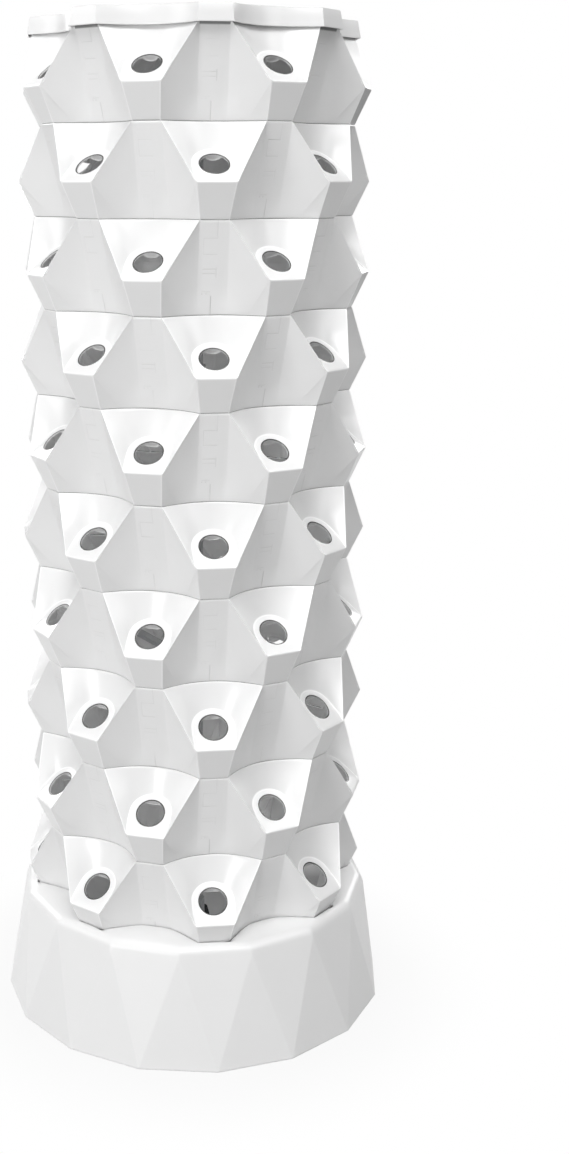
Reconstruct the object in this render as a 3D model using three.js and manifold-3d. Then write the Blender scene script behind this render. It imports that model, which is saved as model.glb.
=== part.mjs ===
// Vertical planter tower: ten rings of planting pockets stacked on a water tank, under a lift-off cover.
// Millimetres, +Z up. The origin is on the floor at the tower's axis, and a pocket of layer 1 faces -Y.
import * as THREE from "three";
import { mergeVertices } from "three/addons/utils/BufferGeometryUtils.js";
import Module from "manifold-3d";

const wasm = await Module();
wasm.setup();

// Counts
const layerCount = 10;
const pocketCount = 8;
const panelsPerLayer = 4;
const roundSteps = 8;
const nozzleCount = 4;
const smallRoundSteps = 6;
const cornerSteps = 2;

// Clearances
const seatGap = 0.3;
const slideGap = 0.5;
const overrun = 5;

// Pocket ring, measured on the outer skin of one layer
const panelWall = 3;
const layerPitch = 149.5;
const edgeReach = 269.2;
const edgeHalfWidth = 23;
const archBow = 31.6;
const lipReach = 295.5;
const lipHalfWidth = 31.7;
const lipHeight = 58;
const bandFadeHeight = 40;
const flankPower = 1.35;

// Planting hole in the pocket's leaning facet
const facetLean = THREE.MathUtils.degToRad(50);
const holeRadius = 24.3;
const holeOffset = 41.8;
const collarDepth = 12;
const archHalfWidth = 35.5;
const archRise = 33.5;

// Water tank
const tankFootRadius = 335;
const tankRimRadius = 306;
const tankRimHeight = 184;
const tankRimRound = 16;
const tankWall = 4;
const seatDepth = 22;
const seatSide = 1.5;
const seatWall = 3.5;
const tankMouthRadius = 200;

// Cover
const coverRise = 24.8;
const coverRimRound = 3;
const coverStep = 2.5;
const coverStepInset = 4;
const coverSkirtDrop = 4.5;
const coverSkirtFlare = 8.6;
const coverTopFlare = 3.6;
const coverWall = 3;
const coverRestWidth = 20;
const coverRestLength = 26;

// Riser pipe up the middle
const pipeRadius = 16;
const pipeWall = 2.5;
const pipeTopDrop = 78;
const couplingHalfLength = 30;
const couplingWall = 3;
const couplingLift = 4;

// Pipe guides, dropped into layers from above
const guideLayers = [3, 6, 9];
const guideSeatShare = 0.7;
const guideArmWidth = 16;
const guideArmHeight = 8;
const guideHubWall = 5;
const guideHubHeight = 26;

// Spray head and dish on top of the pipe
const sprayCapHeight = 34;
const sprayCapWall = 3;
const sprayNozzleRadius = 4;
const sprayNozzleLength = 16;
const dishRadius = 92;
const dishRise = 16;
const dishWall = 2.5;
const dishHubHeight = 16;

// Pump on the tank floor
const pumpHalfWidth = 34;
const pumpFront = 14;
const pumpBack = 84;
const pumpHeight = 82;
const pumpCorner = 9;
const pumpFootHeight = 6;
const pumpFootRadius = 8;
const chamberRadius = 22;
const chamberDepth = 22;
const chamberHeight = 44;
const spigotRadius = 11;
const spigotBore = 7.5;
const spigotHeight = 24;
const pumpCoverThickness = 8;
const grilleSlotCount = 5;
const grilleSlotWidth = 3.6;
const grilleSlotLength = 26;
const grillePitch = 6.4;

// Impeller and its pin
const impellerRadius = 18;
const impellerLength = 12;
const impellerHub = 5.5;
const bladeCount = 6;
const bladeThickness = 2;
const pinRadius = 2;
const pinSeat = 5;

// Socket between the pump's spigot and the pipe
const socketWall = 3;
const socketNeck = 6;
const socketGrip = 26;

// Grommet and drain plug in the tank's back wall
const grommetDrop = 34;
const grommetRadius = 9;
const grommetBore = 4;
const grommetFlange = 4;
const grommetLip = 2.5;
const plugHeight = 38;
const plugRadius = 14;
const plugFlange = 6;
const plugCap = 5;
const plugDepth = 10;
const plugGrip = 7;
const plugGripWidth = 5;

// How closely points are merged and walls are thickened
const weldDistance = 1e-4;
const keysPerMillimetre = 100;
const wallRounds = 60;
const wallEasing = 0.6;

// Derived places
const bayAngle = (2 * Math.PI) / pocketCount;
const deckHeight = tankRimHeight + tankRimRound;
const layerBase = deckHeight - seatDepth;
const stackTop = layerBase + layerCount * layerPitch - seatGap;
const coverRim = stackTop + coverRise;
const coverTop = coverRim + coverStep;
const pipeTop = stackTop - pipeTopDrop;
const guideBases = guideLayers.map((layer) => layerBase + (layer - 1) * layerPitch);
const guideLow = guideSeatShare * layerPitch;
const jointLift = guideLow + guideHubHeight + couplingLift + couplingHalfLength;
const pipeJoints = guideBases.slice(0, -1).map((bottom) => bottom + jointLift);
const grommetHeight = tankRimHeight - grommetDrop;
const cornerAngle = Math.atan2(edgeHalfWidth, edgeReach);
const cornerRadius = Math.hypot(edgeReach, edgeHalfWidth);
const archReach = cornerRadius * Math.cos(bayAngle / 2 - cornerAngle);
const archHalfSpan = cornerRadius * Math.sin(bayAngle / 2 - cornerAngle);
const lipAngle = Math.atan2(lipHalfWidth, lipReach);
const lipRadius = Math.hypot(lipReach, lipHalfWidth);
const archShares = [0, 0.36, 0.68, 1];
const flankShares = [0, 0.5, 1];
const valleyRowShares = [0, lipHeight / layerPitch, 1];

const whitePlastic = { color: 0xf2f2f0, roughness: 0.3, metalness: 0 };
const tankPlastic = { color: 0xf0f0ef, roughness: 0.38, metalness: 0 };
const pipePlastic = { color: 0xc9cbcc, roughness: 0.5, metalness: 0 };
const pumpPlastic = { color: 0x1d1f22, roughness: 0.55, metalness: 0 };
const impellerPlastic = { color: 0x2f5f9a, roughness: 0.5, metalness: 0 };
const pinSteel = { color: 0xb5b4b2, roughness: 0.3, metalness: 1 };
const greyRubber = { color: 0x55585b, roughness: 0.85, metalness: 0 };

// A place given by its distance from the axis, its distance to the side, its height and the azimuth
// it faces, counted from -Y towards +X.
function place(reach, across, height, azimuth) {
  return new THREE.Vector3(
    reach * Math.sin(azimuth) + across * Math.cos(azimuth),
    across * Math.sin(azimuth) - reach * Math.cos(azimuth),
    height,
  );
}

function mix(a, b, share) {
  return a + (b - a) * share;
}

// Closed solids

function meshOf(name, geometry, finish) {
  geometry.computeVertexNormals();
  const mesh = new THREE.Mesh(geometry, new THREE.MeshStandardMaterial(finish));
  mesh.name = name;
  return mesh;
}

function solidOf(geometry) {
  const bare = geometry.clone();
  bare.deleteAttribute("normal");
  bare.deleteAttribute("uv");
  const merged = mergeVertices(bare, weldDistance);
  return new wasm.Manifold(new wasm.Mesh({
    numProp: 3,
    vertProperties: new Float32Array(merged.attributes.position.array),
    triVerts: new Uint32Array(merged.index.array),
  }));
}

function geometryOf(solid) {
  const mesh = solid.getMesh();
  const geometry = new THREE.BufferGeometry();
  geometry.setAttribute("position", new THREE.BufferAttribute(new Float32Array(mesh.vertProperties), 3));
  geometry.setIndex(new THREE.BufferAttribute(new Uint32Array(mesh.triVerts), 1));
  return geometry;
}

function addAll(solids) {
  return solids.reduce((whole, solid) => whole.add(solid));
}

// Rings of points, each the same count, joined from the lowest to the highest and capped at both ends.
function loft(rings) {
  const count = rings[0].length;
  const points = rings.flat();
  const faces = [];
  for (let level = 0; level + 1 < rings.length; level += 1) {
    for (let i = 0; i < count; i += 1) {
      const a = level * count + i;
      const b = level * count + ((i + 1) % count);
      faces.push([a, b, a + count], [b, b + count, a + count]);
    }
  }
  const flat = (ring) => ring.map((p) => new THREE.Vector2(p.x, p.y));
  for (const [a, b, c] of THREE.ShapeUtils.triangulateShape(flat(rings[0]), [])) {
    faces.push([c, b, a]);
  }
  const last = (rings.length - 1) * count;
  for (const [a, b, c] of THREE.ShapeUtils.triangulateShape(flat(rings.at(-1)), [])) {
    faces.push([a + last, b + last, c + last]);
  }
  const geometry = new THREE.BufferGeometry();
  geometry.setFromPoints(points);
  geometry.setIndex(faces.flat());
  return geometry;
}

// A profile of [radius, height] pairs turned about +Z.
function turned(profile, steps = roundSteps) {
  const closed = profile[0][0] === 0 ? profile : [...profile, profile[0]];
  const geometry = new THREE.LatheGeometry(closed.map(([r, z]) => new THREE.Vector2(r, z)), steps);
  return geometry.rotateX(Math.PI / 2);
}

function rod(radius, low, high, steps = roundSteps) {
  return turned([[0, low], [radius, low], [radius, high], [0, high]], steps);
}

function tube(radius, bore, low, high, steps = roundSteps) {
  return turned([[bore, low], [radius, low], [radius, high], [bore, high]], steps);
}

function block(width, depth, height, x, y, z) {
  return new THREE.BoxGeometry(width, depth, height).translate(x, y, z);
}

// Outline of one layer

// Distance from the axis of the valley's middle, which leans inward going down.
function valleyReach(share) {
  return mix(archReach - archBow, edgeReach, share);
}

// The sharp ridge beside a valley, as [reach, half width] seen from the valley's middle.
function ridgeAt(share) {
  const foot = [archReach, archHalfSpan];
  const turn = bayAngle / 2 - lipAngle;
  const lip = [lipRadius * Math.cos(turn), lipRadius * Math.sin(turn)];
  const top = [edgeReach, edgeHalfWidth];
  const lipShare = lipHeight / layerPitch;
  const [from, to, part] = share < lipShare
    ? [foot, lip, share / lipShare]
    : [lip, top, (share - lipShare) / (1 - lipShare)];
  return [mix(from[0], to[0], part), mix(from[1], to[1], part)];
}

// Reach of the valley skin: a flat band as wide as the top edge, with flanks curving out to the ridges.
// At the very bottom the band fades into the round arch that seats on the pocket below.
function valleySkin(share, across) {
  const [ridgeReach, ridgeHalf] = ridgeAt(share);
  const along = Math.min(Math.abs(across) / ridgeHalf, 1);
  const band = edgeHalfWidth / ridgeHalf;
  const fade = Math.min((share * layerPitch) / bandFadeHeight, 1);
  const flank = band < 1 ? Math.max(0, (along - band) / (1 - band)) : 0;
  const rise = mix(along ** 2, flank ** flankPower, fade);
  return valleyReach(share) + (ridgeReach - valleyReach(share)) * rise;
}

// The places across a valley at one height, from its left ridge to its right one.
function valleyColumns(share) {
  const half = ridgeAt(share)[1];
  const right = flankShares.map((part) => mix(edgeHalfWidth, half, part));
  return [...right.map((w) => -w).reverse(), ...right];
}

function valleyRow(share) {
  return valleyColumns(share).map((across) => [valleySkin(share, across), across]);
}

// The closed outline of a whole layer's outer skin at a height no more than the lip's.
function layerOutline(height) {
  const foot = valleyRow(0);
  const lip = valleyRow(lipHeight / layerPitch);
  const part = height / lipHeight;
  const row = foot.map(([reach, across], i) => [mix(reach, lip[i][0], part), mix(across, lip[i][1], part)]);
  const azimuths = Array.from({ length: pocketCount }, (_, bay) => (bay + 0.5) * bayAngle);
  return azimuths.flatMap((azimuth) => row.map(([reach, across]) => place(reach, across, height, azimuth)));
}

// Reach of the arch along a layer's top edge, over a pocket.
function topArch(across) {
  return archReach - archBow * (1 - (across / archHalfSpan) ** 2);
}

// The closed outline of a layer's top edge.
function topOutline(height) {
  const points = [];
  for (let bay = 0; bay < pocketCount; bay += 1) {
    const spots = [...archShares.map((s) => -archHalfSpan * (1 - s)),
      ...archShares.slice(0, -1).reverse().map((s) => archHalfSpan * (1 - s))];
    points.push(...spots.map((w) => place(topArch(w), w, height, bay * bayAngle)));
  }
  return points;
}

// The same outline moved outward by a distance, with its corners mitred.
function offsetOutline(points, distance) {
  const count = points.length;
  return points.map((point, i) => {
    const before = point.clone().sub(points[(i + count - 1) % count]).setZ(0).normalize();
    const after = points[(i + 1) % count].clone().sub(point).setZ(0).normalize();
    const sum = new THREE.Vector3(before.y + after.y, -before.x - after.x, 0);
    return point.clone().addScaledVector(sum, distance / (1 + before.dot(after)));
  });
}

function turnedAbout(points, angle, height) {
  return points.map((p) => p.clone().applyAxisAngle(new THREE.Vector3(0, 0, 1), angle).setZ(height));
}

// Pocket panels: an outer skin, then a wall of even thickness behind it

class Skin {
  constructor() {
    this.points = [];
    this.holds = [];
    this.faces = [];
    this.known = new Map();
  }

  // hold.level keeps the wall's edge flat, hold.side keeps it in the seam, hold.sunk places it outright
  point(position, hold = {}) {
    const key = position.toArray().map((v) => Math.round(v * keysPerMillimetre)).join();
    if (!this.known.has(key)) {
      this.known.set(key, this.points.length);
      this.points.push(position);
      this.holds.push({});
    }
    const index = this.known.get(key);
    Object.assign(this.holds[index], hold);
    return index;
  }

  // Where columns meet in one point, the empty triangle between them is left out.
  face(a, b, c) {
    if (a !== b && b !== c && c !== a) {
      this.faces.push([a, b, c]);
    }
  }

  quad(a, b, c, d) {
    this.face(a, b, c);
    this.face(a, c, d);
  }

  facesRound() {
    const round = this.points.map(() => []);
    for (const face of this.faces) {
      const [a, b, c] = face.map((i) => this.points[i]);
      const normal = b.clone().sub(a).cross(c.clone().sub(a)).normalize();
      face.forEach((i) => round[i].push(normal));
    }
    return round;
  }

  // The wall's inner point lies one wall behind every face that meets at the outer point.
  innerPoint(index, normals, wall) {
    const { level, side, sunk } = this.holds[index];
    if (sunk) {
      return this.points[index].clone().add(sunk);
    }
    const step = new THREE.Vector3();
    for (let round = 0; round < wallRounds; round += 1) {
      for (const normal of normals) {
        step.addScaledVector(normal, (-wall - step.dot(normal)) * wallEasing);
        if (level) {
          step.setZ(0);
        }
        if (side) {
          step.addScaledVector(side, -step.dot(side));
        }
      }
    }
    return this.points[index].clone().add(step);
  }

  thickened(wall) {
    const round = this.facesRound();
    const inner = this.points.map((point, i) => this.innerPoint(i, round[i], wall));
    const count = this.points.length;
    const faces = [...this.faces];
    const edges = new Set(this.faces.flatMap(([a, b, c]) => [`${a} ${b}`, `${b} ${c}`, `${c} ${a}`]));
    for (const [a, b, c] of this.faces) {
      faces.push([a + count, c + count, b + count]);
    }
    for (const edge of edges) {
      const [a, b] = edge.split(" ").map(Number);
      if (!edges.has(`${b} ${a}`)) {
        faces.push([b, a, a + count], [b, a + count, b + count]);
      }
    }
    const geometry = new THREE.BufferGeometry();
    geometry.setFromPoints([...this.points, ...inner]);
    geometry.setIndex(faces.flat());
    return geometry;
  }
}

// The leaning facet round a planting hole: its frame, then points in it from distances across and up it.
function facetPoint(across, up, azimuth) {
  return place(lipReach - up * Math.sin(facetLean), across, lipHeight + up * Math.cos(facetLean), azimuth);
}

function facetNormal(azimuth) {
  return place(Math.cos(facetLean), 0, Math.sin(facetLean), azimuth);
}

// Right half of the arch that bounds the facet, from the lip's corner to the arch's crown.
function archPoints() {
  const steps = archShares.length - 1;
  const points = [[lipHalfWidth, 0]];
  for (let i = 0; i < steps; i += 1) {
    const angle = (i / (steps - 1)) * (Math.PI / 2);
    points.push([archHalfWidth * Math.cos(angle), holeOffset + archRise * Math.sin(angle)]);
  }
  return points;
}

function addFacet(skin, azimuth) {
  const right = archPoints();
  const left = right.slice(0, -1).reverse().map(([u, v]) => [-u, v]);
  const contour = [...right, ...left].map(([u, v]) => new THREE.Vector2(u, v));
  const hole = Array.from({ length: roundSteps }, (_, i) => {
    const angle = ((i + 0.5) * 2 * Math.PI) / roundSteps;
    return new THREE.Vector2(holeRadius * Math.cos(angle), holeOffset + holeRadius * Math.sin(angle));
  });
  const sunk = facetNormal(azimuth).multiplyScalar(-collarDepth);
  const ids = [
    ...contour.map((p) => skin.point(facetPoint(p.x, p.y, azimuth))),
    ...hole.map((p) => skin.point(facetPoint(p.x, p.y, azimuth), { sunk })),
  ];
  for (const [a, b, c] of THREE.ShapeUtils.triangulateShape(contour, [hole])) {
    skin.face(ids[a], ids[b], ids[c]);
  }
}

// The steep wall from the facet's arch up to the arch of the layer's top edge, on one side of the pocket.
function addPocketWall(skin, azimuth, side) {
  const arch = archPoints();
  const low = arch.map(([u, v]) => skin.point(facetPoint(side * u, v, azimuth)));
  const high = archShares.map((share) => {
    const across = side * archHalfSpan * (1 - share);
    return skin.point(place(topArch(across), across, layerPitch - seatGap, azimuth), { level: true });
  });
  for (let i = 0; i + 1 < arch.length; i += 1) {
    const corners = [low[i], high[i], high[i + 1], low[i + 1]];
    skin.quad(...(side > 0 ? corners : corners.reverse()));
  }
}

function addPocketFront(skin, azimuth) {
  const corner = (reach, across, height, hold) => skin.point(place(reach, across, height, azimuth), hold);
  const level = { level: true };
  skin.quad(
    corner(edgeReach, -edgeHalfWidth, 0, level), corner(edgeReach, edgeHalfWidth, 0, level),
    corner(lipReach, lipHalfWidth, lipHeight), corner(lipReach, -lipHalfWidth, lipHeight),
  );
}

// A valley between two pockets. sides lists the halves to make, and a half stops at the seam plane.
function addValley(skin, azimuth, sides) {
  const rows = valleyRowShares.map((share) => {
    const height = Math.min(share * layerPitch, layerPitch - seatGap);
    const level = share === 0 || share === 1;
    let columns = valleyColumns(share);
    if (sides !== "both") {
      const sign = sides === "right" ? 1 : -1;
      columns = [sign * (seatGap / 2), ...columns.filter((w) => w * sign > 0)].sort((a, b) => a - b);
    }
    return columns.map((w) => {
      const hold = level ? { level } : {};
      if (sides !== "both" && Math.abs(w) < edgeHalfWidth) {
        hold.side = place(0, 1, 0, azimuth);
      }
      return skin.point(place(valleySkin(share, w), w, height, azimuth), hold);
    });
  });
  for (let row = 0; row + 1 < rows.length; row += 1) {
    for (let i = 0; i + 1 < rows[row].length; i += 1) {
      skin.quad(rows[row][i + 1], rows[row + 1][i + 1], rows[row + 1][i], rows[row][i]);
    }
  }
}

function pocketPanel() {
  const skin = new Skin();
  const bays = pocketCount / panelsPerLayer;
  for (let bay = 0; bay < bays; bay += 1) {
    const azimuth = (bay - (bays - 1) / 2) * bayAngle;
    addPocketFront(skin, azimuth);
    addFacet(skin, azimuth);
    addPocketWall(skin, azimuth, 1);
    addPocketWall(skin, azimuth, -1);
    if (bay === 0) {
      addValley(skin, azimuth - bayAngle / 2, "right");
    }
    addValley(skin, azimuth + bayAngle / 2, bay === bays - 1 ? "left" : "both");
  }
  return skin.thickened(panelWall);
}

function pocketLayers() {
  const stack = new THREE.Group();
  const geometry = pocketPanel();
  for (let layer = 0; layer < layerCount; layer += 1) {
    const ring = new THREE.Group();
    ring.position.z = layerBase + layer * layerPitch;
    ring.rotation.z = layer % 2 === 0 ? 0 : -bayAngle / 2;
    for (let panel = 0; panel < panelsPerLayer; panel += 1) {
      const number = String(layer + 1).padStart(2, "0");
      const mesh = meshOf(`layer_${number}_panel_${panel + 1}`, geometry, whitePlastic);
      mesh.rotation.z = bayAngle / 2 + (panel * 2 * Math.PI) / panelsPerLayer;
      ring.add(mesh);
    }
    stack.add(ring);
  }
  return stack;
}

// Water tank

function tankRing(radius, height, turn) {
  const step = bayAngle / 2;
  return Array.from({ length: 2 * pocketCount }, (_, i) => place(radius, 0, height, (i + turn) * step));
}

// Outside of the tank, or its inside when inset is the wall: triangular facets from the foot to the rim,
// whose corners lie half a step apart, then a rounded edge up to the deck.
function tankBody(inset) {
  const round = tankRimRound - inset;
  const centre = tankRimRadius - tankRimRound;
  const rings = [
    tankRing(tankFootRadius - inset, inset, 0),
    tankRing(centre + round, tankRimHeight, 0.5),
    tankRing(centre + round * Math.cos(Math.PI / 4), tankRimHeight + round * Math.sin(Math.PI / 4), 0.5),
    tankRing(centre, tankRimHeight + round, 0.5),
  ];
  return solidOf(loft(rings));
}

// The solid between the layer's foot outline and its outline at the deck, moved out by a distance.
function seatSolid(distance, floor, ceiling) {
  const low = offsetOutline(layerOutline(0), distance).map((p) => p.setZ(floor));
  const high = offsetOutline(layerOutline(seatDepth), distance).map((p) => p.setZ(deckHeight));
  const above = high.map((p) => p.clone().setZ(ceiling));
  return solidOf(loft(ceiling > deckHeight ? [low, high, above] : [low, high]));
}

// Puts a piece made along +Z at a height on the tank's wall, pointing out of the wall's triangular facet.
function onTankWall(geometry, height, azimuth) {
  const foot = tankFootRadius * Math.cos(bayAngle / 4);
  const lean = Math.atan2(foot - tankRimRadius, tankRimHeight);
  const reach = mix(foot, tankRimRadius, height / tankRimHeight);
  const spot = place(reach, 0, height, azimuth);
  geometry.rotateX(Math.PI / 2 - lean);
  geometry.rotateZ(azimuth);
  return geometry.translate(spot.x, spot.y, spot.z);
}

const grommetAzimuth = Math.PI - bayAngle / 4;
const plugAzimuth = Math.PI + bayAngle / 4;

function waterTank() {
  const inside = tankBody(tankWall);
  const seatFloor = layerBase - seatGap;
  const tub = seatSolid(seatSide + seatWall, seatFloor - seatWall, deckHeight);
  const cut = seatSolid(seatSide, seatFloor, deckHeight + overrun);
  const mouthLow = seatFloor - seatWall - overrun;
  const mouth = solidOf(rod(tankMouthRadius, mouthLow, seatFloor + overrun, 2 * pocketCount));
  const reach = tankWall + overrun;
  const bore = (radius, height, azimuth) => solidOf(onTankWall(rod(radius, -reach, reach), height, azimuth));
  const cord = bore(grommetRadius + seatGap, grommetHeight, grommetAzimuth);
  const drain = bore(plugRadius + seatGap, plugHeight, plugAzimuth);
  const tank = tankBody(0).subtract(inside.subtract(tub)).subtract(addAll([cut, mouth, cord, drain]));
  return meshOf("water_tank", geometryOf(tank), tankPlastic);
}

function cordGrommet() {
  const inner = -tankWall - seatGap - grommetLip;
  const profile = [
    [grommetBore, inner], [grommetRadius + grommetFlange, inner],
    [grommetRadius + grommetFlange, inner + grommetLip], [grommetRadius, inner + grommetLip],
    [grommetRadius, seatGap], [grommetRadius + grommetFlange, seatGap],
    [grommetRadius + grommetFlange, seatGap + grommetLip / 2],
    [grommetRadius, seatGap + grommetLip], [grommetBore, seatGap + grommetLip],
  ];
  return meshOf("cord_grommet", onTankWall(turned(profile), grommetHeight, grommetAzimuth), greyRubber);
}

function drainPlug() {
  const top = seatGap + plugCap;
  const stem = solidOf(turned([
    [0, -plugDepth], [plugRadius, -plugDepth], [plugRadius, seatGap],
    [plugRadius + plugFlange, seatGap], [plugRadius + plugFlange, top], [0, top],
  ]));
  const gripLength = plugGrip + overrun;
  const gripMiddle = top + plugGrip - gripLength / 2;
  const grip = solidOf(block(2 * plugRadius, plugGripWidth, gripLength, 0, 0, gripMiddle));
  const plug = geometryOf(stem.add(grip));
  return meshOf("drain_plug", onTankWall(plug, plugHeight, plugAzimuth), greyRubber);
}

// Cover

function topCover() {
  const turn = layerCount % 2 === 0 ? -bayAngle / 2 : 0;
  const edge = topOutline(0);
  const skirt = stackTop - coverSkirtDrop;
  const ring = (distance, height) => turnedAbout(offsetOutline(edge, distance), turn, height);
  const shell = solidOf(loft([
    ring(coverSkirtFlare, skirt),
    ring(coverTopFlare, coverRim - coverRimRound),
    ring(coverTopFlare - coverRimRound, coverRim),
  ]));
  // a low step with straight edges stands on the plate, set in from the middles of the bowed walls
  const stepRadius = (archReach - archBow - coverStepInset) / Math.cos(bayAngle / 2);
  const azimuths = Array.from({ length: pocketCount }, (_, i) => turn + (i + 0.5) * bayAngle);
  const stepRing = (height) => azimuths.map((azimuth) => place(stepRadius, 0, height, azimuth));
  const step = solidOf(loft([stepRing(coverRim - coverWall / 2), stepRing(coverTop)]));
  const hollow = solidOf(loft([
    ring(coverSkirtFlare - coverWall, skirt - overrun),
    ring(coverSkirtFlare - coverWall, skirt),
    ring(coverTopFlare - coverWall, coverRim - coverWall),
  ]));
  const restLow = stackTop + seatGap;
  const restHeight = coverRim - coverWall / 2 - restLow;
  const rests = azimuths.map((azimuth) => {
    const reach = edgeReach - coverRestLength / 2;
    const rest = block(coverRestWidth, coverRestLength, restHeight, 0, -reach, restLow + restHeight / 2);
    return solidOf(rest.rotateZ(azimuth));
  });
  return meshOf("top_cover", geometryOf(addAll([shell.subtract(hollow), step, ...rests])), whitePlastic);
}

// Riser pipe, its couplings and its guides

const pumpTop = tankWall + seatGap + pumpHeight;
const spigotTop = pumpTop + spigotHeight;
const pipeBottom = spigotTop + socketNeck;

function riserPipes() {
  const names = ["lower", "middle", "upper"];
  const ends = [pipeBottom, ...pipeJoints, pipeTop];
  return names.map((name, i) => {
    const low = i === 0 ? ends[i] : ends[i] + seatGap / 2;
    const high = i === names.length - 1 ? ends[i + 1] : ends[i + 1] - seatGap / 2;
    return meshOf(`riser_pipe_${name}`, tube(pipeRadius, pipeRadius - pipeWall, low, high), pipePlastic);
  });
}

function pipeCouplings() {
  const bore = pipeRadius + seatGap;
  return ["lower", "upper"].map((name, i) => {
    const low = pipeJoints[i] - couplingHalfLength;
    const high = pipeJoints[i] + couplingHalfLength;
    return meshOf(`pipe_coupling_${name}`, tube(bore + couplingWall, bore, low, high), pipePlastic);
  });
}

// A hub round the pipe with arms whose slanted tips wedge on the leaning bands of the valleys.
function pipeGuides() {
  return guideLayers.map((layer, i) => {
    const lean = Math.atan2(archBow + edgeReach - archReach, layerPitch);
    const seat = (share) => valleyReach(share) - (panelWall + slideGap) / Math.cos(lean);
    const high = guideLow + guideArmHeight;
    const bore = (pipeRadius + slideGap) / Math.cos(Math.PI / roundSteps);
    const arms = Array.from({ length: panelsPerLayer }, (_, arm) => {
      const ring = (height) => {
        const reach = seat(height / layerPitch);
        const half = guideArmWidth / 2;
        const corners = [[bore + guideHubWall / 2, -half], [reach, -half], [reach, half],
          [bore + guideHubWall / 2, half]];
        return corners.map(([r, w]) => place(r, w, height, (arm * 2 * Math.PI) / panelsPerLayer));
      };
      return solidOf(loft([ring(guideLow), ring(high)]));
    });
    const hub = solidOf(tube(bore + guideHubWall, bore, guideLow, guideLow + guideHubHeight));
    const turn = layer % 2 === 1 ? bayAngle / 2 : 0;
    const geometry = geometryOf(addAll([hub, ...arms])).rotateZ(turn).translate(0, 0, guideBases[i]);
    return meshOf(`pipe_guide_${i + 1}`, geometry, pipePlastic);
  });
}

function sprayHead() {
  const bore = pipeRadius + seatGap;
  const outer = bore + sprayCapWall;
  const low = pipeTop - sprayCapHeight / 2;
  const top = low + sprayCapHeight;
  const roof = top - sprayCapWall;
  const cap = solidOf(turned([[0, roof], [bore, roof], [bore, low], [outer, low], [outer, top], [0, top]]));
  const level = (pipeTop + roof) / 2;
  const along = (radius, from, to, azimuth) => {
    const spoke = rod(radius, from, to, smallRoundSteps).rotateX(Math.PI / 2).rotateZ(azimuth);
    return solidOf(spoke.translate(0, 0, level));
  };
  const azimuths = Array.from({ length: nozzleCount }, (_, i) => ((i + 0.5) * 2 * Math.PI) / nozzleCount);
  const reach = outer + sprayNozzleLength;
  const nozzles = azimuths.map((a) => along(sprayNozzleRadius, (bore + outer) / 2, reach, a));
  const bores = azimuths.map((a) => along(sprayNozzleRadius / 2, pipeRadius - pipeWall, reach + overrun, a));
  return meshOf("spray_head", geometryOf(addAll([cap, ...nozzles]).subtract(addAll(bores))), pipePlastic);
}

// A shallow dish clamped round the pipe under the spray head, which throws the water out to the panels.
function spreaderDish() {
  const bore = pipeRadius + seatGap;
  const hub = bore + dishWall;
  const top = pipeTop - sprayCapHeight / 2 - seatGap;
  const low = top - dishHubHeight;
  const profile = [
    [bore, low], [hub, low], [dishRadius, low + dishRise], [dishRadius, low + dishRise + dishWall],
    [hub, low + 2 * dishWall], [hub, top], [bore, top],
  ];
  return meshOf("spreader_dish", turned(profile), pipePlastic);
}

// Pump: the outlet stands on the tower's axis, and the motor housing lies behind it

const chamberBack = chamberDepth - pumpFront;
const pumpBase = tankWall + seatGap;

function alongY(geometry, height) {
  return geometry.rotateX(-Math.PI / 2).translate(0, 0, height);
}

function roundedBox(halfWidth, front, back, low, high, corner) {
  const shape = new THREE.Shape();
  shape.moveTo(-halfWidth + corner, front);
  shape.lineTo(halfWidth - corner, front);
  shape.absarc(halfWidth - corner, front + corner, corner, -Math.PI / 2, 0, false);
  shape.lineTo(halfWidth, back - corner);
  shape.absarc(halfWidth - corner, back - corner, corner, 0, Math.PI / 2, false);
  shape.lineTo(-halfWidth + corner, back);
  shape.absarc(-halfWidth + corner, back - corner, corner, Math.PI / 2, Math.PI, false);
  shape.lineTo(-halfWidth, front + corner);
  shape.absarc(-halfWidth + corner, front + corner, corner, Math.PI, 1.5 * Math.PI, false);
  const depth = high - low;
  const curveSegments = cornerSteps;
  return new THREE.ExtrudeGeometry(shape, { depth, bevelEnabled: false, curveSegments }).translate(0, 0, low);
}

function pumpBody() {
  const axis = pumpBase + chamberHeight;
  const bodyLow = pumpBase + pumpFootHeight;
  const housing = solidOf(roundedBox(pumpHalfWidth, -pumpFront, pumpBack, bodyLow, pumpTop, pumpCorner));
  const spigot = solidOf(rod(spigotRadius, pumpTop - overrun, spigotTop));
  const feet = [-1, 1].flatMap((x) => [-1, 1].map((y) => {
    const inset = pumpCorner + pumpFootRadius;
    const middle = (pumpBack - pumpFront) / 2;
    const footX = x * (pumpHalfWidth - inset / 2);
    const footY = middle + y * ((pumpBack + pumpFront) / 2 - inset);
    const foot = rod(pumpFootRadius, pumpBase, bodyLow + overrun, smallRoundSteps);
    return solidOf(foot.translate(footX, footY, 0));
  }));
  const chamber = solidOf(alongY(rod(chamberRadius, -pumpFront - overrun, chamberBack), axis));
  const outlet = solidOf(rod(spigotBore, axis, spigotTop + overrun));
  const pinHole = solidOf(alongY(rod(pinRadius + seatGap, 0, chamberBack + pinSeat), axis));
  const body = addAll([housing, spigot, ...feet]).subtract(addAll([chamber, outlet, pinHole]));
  return meshOf("pump_body", geometryOf(body), pumpPlastic);
}

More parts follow.
